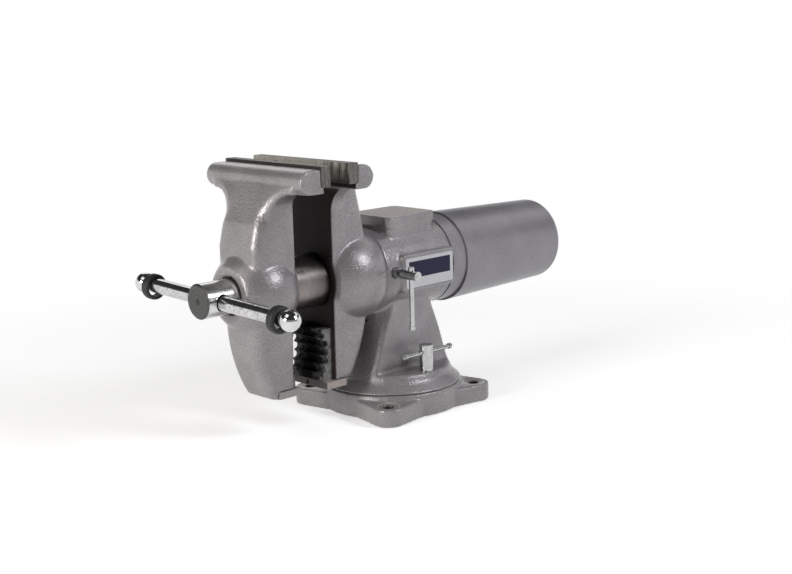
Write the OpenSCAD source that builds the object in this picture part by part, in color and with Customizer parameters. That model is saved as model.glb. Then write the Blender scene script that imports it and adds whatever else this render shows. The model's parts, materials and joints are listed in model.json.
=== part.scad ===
// Multipurpose bench vise: head that turns in a collar, swivel base, round slide bar.
// Millimetres. Origin on the bench under the swivel axis, +Z up, handle towards -Y.

/* [Layout] */
// Height of the screw axis above the bench
axis_h = 167; // [155:1:185]
// Distance from the swivel axis forward to the gripping face of the fixed jaw
jaw_reach = 132.3; // [128:0.1:150]
// Opening between the jaw inserts as drawn
jaw_opening = 27; // [8:1:120]
// Width of both jaws
jaw_w = 165; // [140:1:190]
// Height of the jaw tops above the screw axis
jaw_rise = 138; // [125:1:150]
// Depth of the jaw feet below the screw axis
foot_drop = 112; // [110:1:116]

/* [Jaw castings] */
// Width of the fixed column
column_w = 70; // [60:1:76]
// Width of the front column above its hub
front_column_w = 72; // [64:1:80]
// Rounding of the outer edges of the front column
column_round = 12; // [6:1:16]
// Rounding of the outer edges of the fixed column
fixed_round = 10; // [5:1:18]
// Height of the jaw bars
bar_h = 26.5; // [25:0.5:34]
// Depth of the fixed jaw bar behind its seat
fixed_bar_d = 22.8; // [18:0.2:30]
// Depth of the front jaw bar ahead of its seat
front_bar_d = 28; // [22:0.5:34]
// Radius of the flare from the fixed column to its bar
flare_r = 30; // [15:1:40]
// Radius of the front flare at its outer face
front_flare_r = 32; // [26:1:36]
// Radius of the front flare at its grip face
front_flare_in = 22; // [12:1:30]
// Radius of the ball shaped hub of the fixed jaw
fixed_hub_r = 57; // [53:0.5:62]
// Distance from the collar face forward to the middle of the fixed hub
fixed_hub_lead = 25; // [20:1:30]
// Radius of the ball shaped hub of the front jaw
front_hub_r = 48; // [45:0.5:52]
// Distance from the front seat forward to the middle of the front hub
front_hub_lead = 29.2; // [26:0.2:32]
// Depth of the hub face ahead of the front seat
front_face_lead = 65.9; // [62:0.1:70]
// Width of the front leg below the hub
front_leg_w = 60; // [54:1:66]
// Width of the front leg at its foot
front_foot_w = 54; // [46:1:56]
// Rounding of the front edges of that leg
leg_round = 13; // [6:1:16]
// Depth of the front jaw leg at its fullest
front_leg_d = 54.2; // [50:0.2:58]
// Radius of the curved front of that leg
leg_arc_r = 170; // [160:5:300]
// Radius of the curved back of the fixed leg
fixed_arc_r = 180; // [160:5:300]

/* [Jaw inserts] */
// Thickness of the jaw inserts
insert_t = 12.5; // [9:0.5:15]
// Height of the jaw inserts
insert_h = 22.5; // [18:0.5:26]
// Height of the inserts above the castings
insert_proud = 3; // [0.5:0.5:4]
// Spacing of the insert screws
insert_screw_span = 84; // [60:1:124]

/* [Pipe jaws] */
// Width of the fixed pipe jaw
fixed_pipe_w = 56; // [48:1:60]
// Width of the front pipe jaw
front_pipe_w = 34; // [34:1:48]
// Height of the pipe jaws
pipe_jaw_h = 60; // [56:1:66]
// Reach of the fixed pipe jaw from its column
fixed_pipe_d = 14; // [10:0.5:14]
// Reach of the front pipe jaw from its column
front_pipe_d = 10; // [9:0.5:12]
// Radius of the pipe grip
pipe_grip_r = 38; // [32:1:50]
// Depth of metal behind the fixed pipe grip
fixed_pipe_back = 8; // [7:0.5:9]
// Depth of metal behind the front pipe grip
front_pipe_back = 5.5; // [5:0.5:7]
// Radius of each tooth scallop
scallop_r = 4; // [3:0.25:4.5]

/* [Bottom plates] */
// Thickness of the plates under the jaws
plate_t = 8; // [6:0.5:10]
// Depth of the fixed plate behind its column face
fixed_plate_d = 21; // [18:0.5:22]
// Depth of the front plate ahead of its column face
front_plate_d = 21; // [19:0.5:23]

/* [Slide bar and screw] */
// Radius of the round slide bar
bar_r = 30; // [27:0.5:31.5]
// Wall of the slide bar
bar_wall = 6; // [4.5:0.25:7]
// Reach of the slide bar behind the swivel axis
bar_tail = 205; // [190:1:215]
// Radius of the clamping screw
screw_r = 12.7; // [11:0.1:14]
// Radius of the screw head
head_r = 19.3; // [17:0.1:20.4]
// Length of the screw head ahead of the hub face
head_out = 40.3; // [36:0.1:50]

/* [Handle] */
// Turn of the handle about the screw axis as drawn
handle_turn = 1.5; // [-90:0.5:90]
// Radius of the handle rod
rod_r = 8.5; // [6:0.25:9]
// Distance from the screw axis to the middle of each handle ball
ball_x = 128.5; // [115:0.5:150]
// Radius of the handle balls
ball_r = 11.5; // [10.5:0.25:14]
// Radius of the rubber bumpers
bumper_r = 14.5; // [13:0.25:17]
// Thickness of the rubber bumpers
bumper_t = 11; // [7:0.5:14]

/* [Collar and pedestal] */
// Distance from the swivel axis forward to the collar face
collar_front = 51; // [47:0.5:54]
// Distance from the swivel axis back to the rear collar face
collar_rear = 56.4; // [52:0.1:62]
// Radius of the collar at its front
collar_r = 50.2; // [48:0.2:54]
// Radius of the collar at its rear
collar_rear_r = 53.2; // [51:0.2:56]
// Radius of the shank that turns in the collar
shank_r = 38; // [37:0.25:40]
// Half width of the anvil
anvil_half = 36; // [30:0.5:39]
// Length of the anvil
anvil_len = 79; // [60:1:88]
// Height of the anvil face above the screw axis
anvil_rise = 63.8; // [60:0.2:72]
// Thickness of the anvil slab
anvil_t = 12.5; // [8:0.5:14]
// Length of the name plate
label_len = 77; // [60:1:77]
// Height of the name plate
label_h = 35; // [25:0.5:38]

/* [Base] */
// Height of the swivel base
base_h = 28; // [26:0.5:30]
// Radius of the swivel base
base_r = 84; // [81:0.5:86]
// Spacing of the bench bolts across the vise
bolt_span_x = 137; // [130:1:144]
// Spacing of the bench bolts along the vise
bolt_span_y = 142; // [134:1:148]
// Diameter of the bench bolt holes
bolt_hole_d = 13; // [9:0.5:14]
// Radius of the bolt lugs
lug_r = 18.5; // [17:0.5:21]
// Height of the bolt lugs
lug_h = 21; // [16:0.5:21.5]

/* [Locks] */
// Distance of the swivel locks from the swivel axis
lock_x = 60; // [58:0.5:61]
// Height of the ledge the lock nuts stand on
ledge_z = 48; // [45:0.5:50]
// Height of the lock nuts
lock_nut_h = 31; // [28:0.5:34]
// Length of the swivel lock bars
lock_bar_len = 77; // [60:1:80]
// Radius of the head lock screw
head_lock_r = 5.5; // [5:0.25:7]
// Reach of the head lock screw from the screw axis
head_lock_out = 86; // [84:1:96]
// Length of the head lock bar
head_bar_len = 73; // [60:1:78]

/* [Rear cover] */
// Width of the retaining ring
ring_w = 21.9; // [18:0.1:26]
// Radius of the rear cover at its front
cover_r = 55.5; // [54:0.25:58]
// Radius of the rear cover at its end
cover_end_r = 51; // [49:0.25:54]
// Length of the rear cover
cover_len = 180; // [175:1:200]
// Wall of the rear cover
cover_wall = 4.5; // [3:0.25:6]

/* [Hidden] */
$fn = 72;

// Clearances
run = 0.06;
seat = 0.2;
slack = 1;
ease = 1.012;

// Jaw planes along the screw
fixed_seat = -(jaw_reach - insert_t);
front_grip = -(jaw_reach + jaw_opening);
front_seat = front_grip - insert_t;
fixed_relief = 0.8;
front_relief = 2.6;
fixed_face = fixed_seat + fixed_relief;
front_face = front_seat - front_relief;
column_rear = front_seat - 1;
jaw_top = axis_h + jaw_rise;
bar_top = jaw_top - insert_proud;
bar_low = bar_top - bar_h;
bar_mid = bar_top - bar_h / 2;
insert_low = jaw_top - insert_h;
lip_d = 4;
foot_z = axis_h - foot_drop;
fixed_hub_y = -(collar_front + fixed_hub_lead);
front_hub_y = front_seat - front_hub_lead;
hub_face = front_seat - front_face_lead;
front_hub_rear = 7;

// Leans of the columns
fixed_lean = 12.5;
fixed_lean_y = -54;
fixed_arc_drop = 15;
fixed_leg_back = -63.7;
fixed_arc_y = fixed_leg_back - fixed_arc_r;
fixed_leg_in = 70;
front_column_d = 54.2;
lean_low = 14.3;
lean_high = 24.7;
lean_low_rise = 52.8;
lean_high_rise = 76.5;
lean_low_z = axis_h + lean_low_rise;
lean_high_z = axis_h + lean_high_rise;
column_face = front_seat - front_column_d;
lean_high_y = column_face + (lean_high_z - lean_low_z) * tan(lean_low);
leg_arc_drop = 32;
leg_taper_drop = 52;
leg_arc_y = front_seat - front_leg_d + leg_arc_r;
shoulder_drop = 14;
flare_skin = 5;
flare_set = 0.4;
round_step = 1;
flare_round = column_round + 2 * round_step;
flare_fn = 32;
thin = 0.1;

// Insert screws
screw_head_r = 7.5;
screw_head_h = 7;
screw_body_r = 4.8;
screw_bite = 11;
insert_screw_z = insert_low + insert_h / 2;

// Bottom plate screws
plate_head_r = 6.5;
plate_head_h = 4;
plate_body_r = 3.5;
plate_bite = 14;
fixed_plate_screw_x = 20;
front_plate_screw_x = 15;
plate_screw_back = 12;
plate_hole_r = 3;
plate_hole_depth = 9;
plate_round = 2;

// Pipe jaw tongue and teeth
tongue_d = 7;
tongue_w = 22;
tongue_flare = 5;
pipe_mid_z = foot_z + 0.55 * pipe_jaw_h;
scallops = 5;
scallop_step = 15.5;

// Slide bar, nut and screw
bar_bore = bar_r - bar_wall;
key_w = 16;
nut_front = 50;
ring_front = collar_rear + 0.3;
ring_rear = ring_front + ring_w;
shank_end = ring_rear - 2.6;
nut_rear = shank_end - seat;
nut_r = bar_bore - 0.5;
slot_front = nut_front - jaw_opening - 12;
wall_front = hub_face + 15.7;
wall_rear = wall_front + 14;
washer_t = 3;
head_pocket_r = head_r + 1.9;
head_rear = wall_front - washer_t - seat;
screw_tail = bar_tail - 5;
head_tip = hub_face - head_out;
head_chamfer = 1.6;
center_r = 3;
collar_t = 12;
collar_ring_r = bar_bore - 2;
pin_r = 2.5;
rod_y = (head_tip + hub_face) / 2 - 0.2;
rod_hole_r = rod_r + 1;
rod_drop = 1.4;
rod_half = ball_x - 3;
bumper_x = ball_x - 17.4;
bumper_hang = 2;
bumper_bore = rod_r + bumper_hang + seat / 2;
bumper_round = 3;

// Body
swivel_gap = 0.2;
flange_step = 0.3;
flange_r = base_r - flange_step;
body_low = base_h + swivel_gap;
neck_r = 49;
neck_drop = 47;
waist_r = 59.4;
waist_drop = 81.4;
skirt_r = 66.5;
skirt_z = 58;
shoulder_r = 73;
shoulder_z = 39;
flange_t = 1;
neck_top_drop = 20;
neck_top_r = 44;
alcove_x = 37;
anvil_front = -34;
anvil_round = 9;
anvil_neck = 1.6;
pad_x = 53.3;
pad_in = 36;
pad_border = 4.5;
pad_round = 4;
label_t = 1;
label_mid_y = 14.6;
label_mid_z = axis_h - 1.5;
pivot_r = 12;
pivot_head_r = 16;
pivot_head_low = 3;
pivot_head_top = 10;
pivot_top = 62;

// Swivel slot and locks
slot_neck = 5.6;
slot_half = 10;
slot_low = 8;
slot_top = 18;
stud_r = 5;
stud_head_r = 9.4;
stud_top = ledge_z + 16;
lock_nut_r = 8;
lock_bar_r = 2.5;
lock_bar_up = 22;
lock_bar_y = 2.5;
bar_end_r = 0.8;
bar_end_t = 4;
head_lock_y = -36.5;
head_lock_z = axis_h + 1.5;
head_bar_x = 75;
head_bar_r = 2.75;
head_bar_above = head_lock_r + bar_end_t + seat;
shoe_t = 6;
shoe_gap = 0.3;
lock_hole = 0.35;

// Base
web_root = 66;
web_root_half = 45;
web_turn = 32;
spot_r = 14;
spot_d = 1;
base_top_round = 3;

// Rear cover
cover_corner = 6;
spigot_r = 48;
spigot_wall = 5;
spigot_len = 10;
cover_front = ring_rear + 0.3;
cover_end = cover_front + cover_len;
lip_r = bar_r + 1;

// Rod along Y on the screw axis
module y_rod(r, y0, y1) {
    translate([0, y0, axis_h]) rotate([-90, 0, 0]) cylinder(h = y1 - y0, r = r);
}

// Cone along Y on the screw axis
module y_cone(r0, r1, y0, y1) {
    translate([0, y0, axis_h]) rotate([-90, 0, 0]) cylinder(h = y1 - y0, r1 = r0, r2 = r1);
}

// Rod along X
module x_rod(r, x0, x1) {
    translate([x0, 0, 0]) rotate([0, 90, 0]) cylinder(h = x1 - x0, r = r);
}

// Rod along Z
module z_rod(r, z0, z1) {
    translate([0, 0, z0]) cylinder(h = z1 - z0, r = r);
}

// Box from its limits
module span(x0, x1, y0, y1, z0, z1) {
    translate([x0, y0, z0]) cube([x1 - x0, y1 - y0, z1 - z0]);
}

// Outline in Y and Z pulled along X, centred
module side_slab(w) {
    rotate([90, 0, 90]) linear_extrude(height = w, center = true) children();
}

// Outline in X and Z pulled along Y
module front_slab(y0, y1) {
    translate([0, y1, 0]) rotate([90, 0, 0]) linear_extrude(height = y1 - y0) children();
}

// Waste outside a rounded corner: sharp point at the origin, body towards -x and -y
module corner_waste(r) {
    difference() {
        translate([-r, -r]) square(r + slack);
        translate([-r, -r]) circle(r * ease);
    }
}

// Fill of an inside corner at the origin, room towards +x and +y
module corner_fill(r) {
    difference() {
        translate([-slack, -slack]) square(r + slack);
        translate([r, r]) circle(r * ease);
    }
}

// Rectangle about the origin with rounded corners
module round_rect(w, h, r) {
    difference() {
        square([w, h], center = true);
        for (mx = [0, 1], my = [0, 1]) mirror([mx, 0]) mirror([0, my])
            translate([w / 2, h / 2]) corner_waste(r);
    }
}

// Column section in X and Y with its two outer edges rounded, outer face on the X axis
module column_section(w, d, round) {
    difference() {
        translate([-w / 2, -d]) square([w, d]);
        for (m = [0, 1]) mirror([m, 0]) translate([w / 2, 0]) corner_waste(round);
    }
}

// Outline in X and Z of both flares between a column and its bar
module flares() {
    for (m = [0, 1]) mirror([m, 0]) translate([column_w / 2, bar_low]) mirror([0, 1]) corner_fill(flare_r);
}

// Outline in Y and Z of a jaw bar with a round nose; dir points away from the grip
module bar_outline(seat_y, depth, dir) {
    nose = bar_h / 2;
    mid = seat_y + dir * (depth - nose);
    intersection() {
        union() {
            translate([min(seat_y, mid), bar_low]) square([abs(mid - seat_y), bar_h]);
            translate([mid, bar_low + nose]) circle(nose);
        }
        translate([min(seat_y, seat_y + dir * jaw_w), bar_low - slack]) square([jaw_w, bar_h + 2 * slack]);
    }
    translate([min(seat_y, seat_y - dir * lip_d), bar_low]) square([lip_d, insert_low - bar_low]);
}

// Threaded holes for the insert screws
module insert_screw_holes(y0, y1) {
    for (s = [-1, 1]) translate([s * insert_screw_span / 2, 0, insert_screw_z - axis_h])
        y_rod(screw_body_r, y0, y1);
}

// Dovetail outline in X and Y, tongue towards +y, widened by a clearance
module tongue(gap) {
    a = tongue_w / 2 + gap;
    b = a + tongue_flare;
    polygon([[-a, -slack], [a, -slack], [a, 0], [b, tongue_d + gap], [-b, tongue_d + gap], [-a, 0]]);
}

// Outline in Y and Z of a pipe jaw, back on the Z axis, teeth towards -y
module pipe_outline(depth, back) {
    grip_y = -(back + pipe_grip_r);
    difference() {
        translate([-depth, foot_z]) square([depth, pipe_jaw_h]);
        translate([grip_y, pipe_mid_z]) circle(pipe_grip_r);
        for (i = [0 : scallops - 1]) {
            a = (i - (scallops - 1) / 2) * scallop_step;
            translate([grip_y + pipe_grip_r * cos(a), pipe_mid_z + pipe_grip_r * sin(a)]) circle(scallop_r);
        }
    }
}

// Pipe jaw standing on its bottom plate, grip towards -y
module pipe_jaw(w, depth, back) {
    side_slab(w) pipe_outline(depth, back);
    translate([0, 0, foot_z]) linear_extrude(height = pipe_jaw_h) tongue(0);
}

// Slot for the tongue of a pipe jaw, open below
module pipe_slot() {
    translate([0, 0, foot_z - slack]) linear_extrude(height = pipe_jaw_h + slack + seat) tongue(seat);
}

// Pieces of one insert screw, head towards -y at y0
module insert_screw(y0) {
    y_rod(screw_head_r, y0, y0 + screw_head_h);
    y_rod(screw_body_r, y0 + screw_head_h - slack, y0 + insert_t + screw_bite - slack);
}

// Jaw insert with counterbored screw holes, grip face at y0 towards -y
module insert(y0) {
    difference() {
        span(-jaw_w / 2, jaw_w / 2, y0, y0 + insert_t, insert_low, jaw_top);
        for (s = [-1, 1]) translate([s * insert_screw_span / 2, 0, insert_screw_z - axis_h]) {
            y_rod(screw_head_r + seat, y0 - slack, y0 + screw_head_h + slack);
            y_rod(screw_body_r + seat, y0, y0 + insert_t + slack);
        }
    }
}

// Flat head plate screw from below
module plate_screw() {
    z_rod(plate_body_r, foot_z - plate_t + plate_head_h / 2, foot_z + plate_bite - slack);
    translate([0, 0, foot_z - plate_t]) cylinder(h = plate_head_h, r1 = plate_head_r, r2 = plate_body_r);
}

// Room for a plate screw in its plate
module plate_screw_hole() {
    z_rod(plate_body_r + seat, foot_z - plate_t - slack, foot_z + slack);
    translate([0, 0, foot_z - plate_t - seat])
        cylinder(h = plate_head_h + seat, r1 = plate_head_r + 2 * seat, r2 = plate_body_r + seat);
}

module swivel_base() {
    color("#8f9093") difference() {
        union() {
            z_rod(base_r, 0, base_h);
            linear_extrude(height = lug_h) for (sx = [-1, 1], sy = [-1, 1]) {
                translate([sx * bolt_span_x / 2, sy * bolt_span_y / 2]) circle(lug_r);
                lug_web(sx, sy);
            }
        }
        for (sx = [-1, 1], sy = [-1, 1]) translate([sx * bolt_span_x / 2, sy * bolt_span_y / 2, 0]) {
            z_rod(bolt_hole_d / 2, -slack, lug_h + slack);
            z_rod(spot_r, lug_h - spot_d, base_h);
        }
        z_rod(pivot_r + run, -slack, base_h + slack);
        z_rod(pivot_head_r + slack, -slack, pivot_head_top + seat);
        rotate_extrude() {
            translate([lock_x - slot_neck, slot_top - slack])
                square([2 * slot_neck, base_h - slot_top + 2 * slack]);
            translate([lock_x - slot_half, slot_low]) square([2 * slot_half, slot_top - slot_low]);
        }
        translate([0, lock_x, 0]) z_rod(slot_half, -slack, slot_low + slack);
    }
}

// Web that joins a lug to the disc, straight sides running into the lug
module lug_web(sx, sy) {
    reach = norm([bolt_span_x, bolt_span_y]) / 2;
    tip_x = reach + lug_r * sin(web_turn);
    tip_y = lug_r * cos(web_turn);
    rotate(atan2(sy * bolt_span_y, sx * bolt_span_x))
        polygon([[web_root, -web_root_half], [tip_x, -tip_y], [tip_x, tip_y], [web_root, web_root_half]]);
}

module pivot_pin() {
    color("#6f6f72") {
        z_rod(pivot_head_r, pivot_head_low, pivot_head_top);
        z_rod(pivot_r, pivot_head_top - slack, pivot_top);
    }
}

// Round pedestal with its flange
module pedestal() {
    rotate_extrude() polygon([
        [0, body_low],
        [flange_r, body_low],
        [flange_r, body_low + flange_t],
        [shoulder_r, shoulder_z],
        [skirt_r, skirt_z],
        [waist_r, axis_h - waist_drop],
        [neck_r, axis_h - neck_drop],
        [neck_top_r, axis_h - neck_top_drop],
        [0, axis_h - neck_top_drop]
    ]);
}

// Flat cut above the ledge on one side
module alcove() {
    span(alcove_x, base_r, -base_r, base_r, ledge_z, axis_h - neck_top_drop);
}

module body_casting() {
    anvil_mid = anvil_front + anvil_len / 2;
    anvil_z = axis_h + anvil_rise;
    pad_len = label_len + 2 * pad_border;
    pad_end = label_mid_y + pad_len;
    color("#8f9093") difference() {
        union() {
            y_cone(collar_r, collar_rear_r, -collar_front + 0.3, collar_rear);
            difference() {
                pedestal();
                for (m = [0, 1]) mirror([m, 0, 0]) alcove();
            }
            translate([0, anvil_mid, anvil_z - anvil_t]) linear_extrude(height = anvil_t)
                round_rect(2 * anvil_half, anvil_len, anvil_round);
            translate([0, anvil_mid, axis_h]) linear_extrude(height = anvil_rise - anvil_t + slack)
                round_rect(2 * (anvil_half - anvil_neck), anvil_len - 2 * anvil_neck, anvil_round);
            difference() {
                translate([pad_in, label_mid_y, label_mid_z]) rotate([90, 0, 90])
                    linear_extrude(height = pad_x - pad_in)
                        round_rect(pad_len, label_h + 2 * pad_border, pad_round);
                span(0, base_r, collar_rear, pad_end, 0, jaw_top);
            }
        }
        y_rod(shank_r + run, -collar_front - slack, collar_rear + slack);
        z_rod(pivot_r + run, body_low - slack, pivot_top + seat);
        for (s = [-1, 1]) translate([s * lock_x, 0, 0])
            z_rod(stud_r + run, body_low - slack, ledge_z + slack);
        translate([0, head_lock_y, head_lock_z]) x_rod(head_lock_r + run, shank_r - slack, head_lock_out);
    }
}

module name_plate() {
    color("#e6e6e8") translate([pad_x, label_mid_y, label_mid_z]) rotate([90, 0, 90])
        linear_extrude(height = label_t) round_rect(label_len, label_h, pad_round / 2);
}

module lock_studs() {
    color("#77777a") for (s = [-1, 1]) translate([s * lock_x, 0, 0]) {
        z_rod(stud_head_r, slot_low + seat, slot_top - seat);
        z_rod(stud_r, slot_top - slack, stud_top);
    }
}

module head_lock_shoe() {
    color("#b08d3f") difference() {
        translate([0, head_lock_y, head_lock_z]) x_rod(head_lock_r - seat, shank_r - slack, shank_r + shoe_t);
        y_rod(shank_r + shoe_gap, -collar_front, 0);
    }
}

// Round nut with a blind thread and a cross hole
module lock_nut() {
    difference() {
        z_rod(lock_nut_r, ledge_z + seat, ledge_z + lock_nut_h);
        z_rod(stud_r + run, ledge_z, stud_top + seat);
        translate([0, 0, ledge_z + lock_bar_up]) rotate([90, 0, 0])
            cylinder(h = 4 * lock_nut_r, r = lock_bar_r + lock_hole, center = true);
    }
}

// Sliding cross bar along Y with upset ends
module lock_bar() {
    translate([0, lock_bar_y, ledge_z + lock_bar_up]) rotate([90, 0, 0]) {
        cylinder(h = lock_bar_len, r = lock_bar_r, center = true);
        for (m = [0, 1]) mirror([0, 0, m]) translate([0, 0, lock_bar_len / 2 - bar_end_t])
            cylinder(h = bar_end_t, r = lock_bar_r + bar_end_r);
    }
}

module swivel_lock_nut_right() {
    color("#b9babd") translate([lock_x, 0, 0]) lock_nut();
}

module swivel_lock_bar_right() {
    color("#c6c7ca") translate([lock_x, 0, 0]) lock_bar();
}

module swivel_lock_nut_left() {
    color("#b9babd") translate([-lock_x, 0, 0]) lock_nut();
}

module swivel_lock_bar_left() {
    color("#c6c7ca") translate([-lock_x, 0, 0]) lock_bar();
}

module head_lock_screw() {
    color("#b9babd") difference() {
        translate([0, head_lock_y, head_lock_z]) x_rod(head_lock_r, shank_r + shoe_t + seat, head_lock_out);
        translate([head_bar_x, head_lock_y, head_lock_z])
            cylinder(h = 4 * head_lock_r, r = head_bar_r + lock_hole, center = true);
    }
}

module head_lock_bar() {
    top = head_lock_z + head_bar_above;
    color("#c6c7ca") translate([head_bar_x, head_lock_y, 0]) {
        z_rod(head_bar_r, top - head_bar_len, top);
        z_rod(head_bar_r + bar_end_r, top - bar_end_t, top);
        z_rod(head_bar_r + bar_end_r, top - head_bar_len, top - head_bar_len + bar_end_t);
    }
}

// Upper column of the fixed jaw, leaning back edge, shoulder below the bar
module fixed_upper() {
    intersection() {
        translate([0, fixed_lean_y, axis_h]) rotate([fixed_lean, 0, 0]) translate([0, 0, -jaw_rise])
            linear_extrude(height = 3 * jaw_rise) column_section(column_w, jaw_reach, fixed_round);
        side_slab(2 * jaw_w) polygon([
            [fixed_face, axis_h],
            [0, axis_h],
            [0, bar_low - shoulder_drop],
            [fixed_seat + fixed_bar_d - slack, bar_mid],
            [fixed_face, bar_mid]
        ]);
    }
}

// Ring about an X axis at the origin, its outer edges rounded
module leg_ring(r, inward, w, round) {
    rotate([0, 90, 0]) rotate_extrude() difference() {
        translate([r - inward, -w / 2]) square([inward, w]);
        for (m = [0, 1]) mirror([0, m]) translate([r, w / 2]) corner_waste(round);
    }
}

// Lower leg of the fixed jaw with a curved back
module fixed_leg() {
    intersection() {
        translate([0, fixed_arc_y, axis_h - fixed_arc_drop])
            leg_ring(fixed_arc_r, fixed_leg_in, column_w, fixed_round);
        span(-jaw_w, jaw_w, fixed_face, 0, foot_z, axis_h + slack);
    }
}

module fixed_jaw() {
    color("#8f9093") difference() {
        union() {
            fixed_upper();
            fixed_leg();
            intersection() {
                translate([0, fixed_hub_y, axis_h]) sphere(r = fixed_hub_r);
                span(-jaw_w, jaw_w, fixed_face, -collar_front, 0, jaw_top);
            }
            side_slab(jaw_w) bar_outline(fixed_seat, fixed_bar_d, 1);
            front_slab(fixed_face, fixed_seat + fixed_bar_d - flare_skin) flares();
            y_rod(shank_r, fixed_hub_y, shank_end);
        }
        y_rod(bar_r + run, fixed_face - slack, shank_end + slack);
        translate([0, fixed_face, 0]) pipe_slot();
        insert_screw_holes(fixed_seat - slack, fixed_seat + screw_bite);
        for (s = [-1, 1]) translate([s * fixed_plate_screw_x, fixed_face + plate_screw_back, 0])
            z_rod(plate_body_r, foot_z - slack, foot_z + plate_bite);
        span(-key_w / 2, key_w / 2, nut_front - seat, shank_end + slack, axis_h - 2 * shank_r, axis_h);
    }
}

module fixed_jaw_insert() {
    color("#7d7468") insert(-jaw_reach);
}

module fixed_insert_screws() {
    color("#4c4c4f") for (s = [-1, 1])
        translate([s * insert_screw_span / 2, 0, insert_screw_z - axis_h]) insert_screw(-jaw_reach + slack);
}

module fixed_pipe_jaw() {
    color("#4a4947") translate([0, fixed_face, 0]) pipe_jaw(fixed_pipe_w, fixed_pipe_d, fixed_pipe_back);
}

// Plate under a jaw, grip edge towards -y at the origin, with a hole in that edge
module bottom_plate(w, d, round, screw_x, screw_y) {
    difference() {
        translate([0, d, foot_z - plate_t]) linear_extrude(height = plate_t) column_section(w, d, round);
        for (s = [-1, 1]) translate([s * screw_x, screw_y, 0]) plate_screw_hole();
        translate([0, 0, foot_z - plate_t / 2 - axis_h]) y_rod(plate_hole_r, -slack, plate_hole_depth);
    }
}

module fixed_bottom_plate() {
    color("#a89f92") translate([0, fixed_face - fixed_pipe_d, 0])
        bottom_plate(column_w, fixed_pipe_d + fixed_plate_d, fixed_round,
                     fixed_plate_screw_x, fixed_pipe_d + plate_screw_back);
}

module fixed_plate_screws() {
    color("#4c4c4f") for (s = [-1, 1])
        translate([s * fixed_plate_screw_x, fixed_face + plate_screw_back, 0]) plate_screw();
}

module retaining_ring() {
    color("#8f9093") difference() {
        union() {
            y_rod(collar_rear_r, ring_front, ring_rear);
            y_rod(spigot_r, ring_rear - slack, ring_rear + spigot_len);
        }
        y_rod(shank_r + run, ring_front - slack, shank_end + seat);
        y_rod(lip_r, ring_front, ring_rear + spigot_len + slack);
        y_rod(spigot_r - spigot_wall, ring_rear, ring_rear + spigot_len + slack);
    }
}

module rear_cover() {
    color("#8f9093") translate([0, 0, axis_h]) rotate([-90, 0, 0]) rotate_extrude() difference() {
        polygon([[0, cover_front], [cover_r, cover_front], [cover_end_r, cover_end], [0, cover_end]]);
        translate([cover_end_r, cover_end]) corner_waste(cover_corner);
        translate([-slack, cover_front - slack]) square([spigot_r + seat + slack, spigot_len + slack]);
        translate([-slack, cover_front]) square([cover_end_r - cover_wall + slack, cover_len - cover_wall]);
    }
}

module spindle_nut() {
    color("#9a7b3c") difference() {
        union() {
            y_rod(nut_r, nut_front, nut_rear);
            span(-key_w / 2 + seat, key_w / 2 - seat, nut_front, nut_rear, axis_h - shank_r + slack, axis_h);
        }
        y_rod(screw_r + run, nut_front - slack, nut_rear + slack);
    }
}

// Rounded column section run along one of the front jaw's face planes, through a point of it
module front_plane(y, z, lean, round) {
    translate([0, y, z]) rotate([-lean, 0, 0]) mirror([0, 1, 0])
        linear_extrude(height = 2 * jaw_reach, center = true)
            column_section(front_column_w, jaw_reach, round);
}

// Upper column of the front jaw, its front leaning back in two steps
module front_upper() {
    intersection() {
        front_plane(column_face, axis_h, 0, column_round);
        front_plane(column_face, lean_low_z, lean_low, column_round + round_step);
        front_plane(lean_high_y, lean_high_z, lean_high, flare_round);
        span(-jaw_w, jaw_w, hub_face, column_rear, axis_h, bar_mid);
    }
}

// Room beside the front column, below its bar: its rounded corner narrows towards the grip
module flare_hollow() {
    y0 = column_face;
    z0 = axis_h;
    hull() {
        flare_disc(front_flare_r, y0);
        flare_disc(front_flare_in, front_seat);
        span(front_column_w / 2, jaw_w, y0, front_seat, z0, z0 + slack);
        span(jaw_w, jaw_w + slack, y0, front_seat, z0, bar_low);
    }
}

// Thin disc that touches the column and the bar
module flare_disc(r, y) {
    translate([front_column_w / 2 + r, y, bar_low - r]) rotate([90, 0, 0])
        cylinder(h = thin, r = r * ease, center = true, $fn = flare_fn);
}

// Flares of the front jaw, flush with its front and rounded along their edge
module front_flares() {
    mid_x = front_column_w / 2 + front_flare_r;
    mid_z = bar_low - front_flare_r;
    low_z = mid_z - slack;
    slope = tan(lean_high);
    edge_y = lean_high_y + flare_set + (mid_z - lean_high_z) * slope;
    low_y = edge_y - slack * slope;
    top_y = edge_y + (bar_mid - mid_z) * slope;
    for (m = [0, 1]) mirror([m, 0, 0]) difference() {
        translate([mid_x / 2, 0, 0]) side_slab(mid_x)
            polygon([[low_y, low_z], [top_y, bar_mid], [front_face, bar_mid], [front_face, low_z]]);
        flare_hollow();
        translate([mid_x, edge_y, mid_z]) rotate([-lean_high - 90, 0, 0])
            rotate_extrude() translate([front_flare_r + slack, 0]) corner_fill(flare_round);
    }
}

// Curved leg of the front jaw, narrower at its foot, with a lip ahead of its bottom plate
module front_leg() {
    lip_z = foot_z - plate_t;
    difference() {
        intersection() {
            translate([0, leg_arc_y, axis_h - leg_arc_drop])
                leg_ring(leg_arc_r, 2 * front_leg_d, front_leg_w, leg_round);
            front_slab(hub_face, front_face) polygon([
                [-front_foot_w / 2, lip_z],
                [front_foot_w / 2, lip_z],
                [front_foot_w / 2, foot_z],
                [front_leg_w / 2, axis_h - leg_taper_drop],
                [front_leg_w / 2, axis_h + slack],
                [-front_leg_w / 2, axis_h + slack],
                [-front_leg_w / 2, axis_h - leg_taper_drop],
                [-front_foot_w / 2, foot_z]
            ]);
        }
        span(-jaw_w, jaw_w, front_face - front_plate_d - seat, front_seat, lip_z - slack, foot_z);
    }
}

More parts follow.
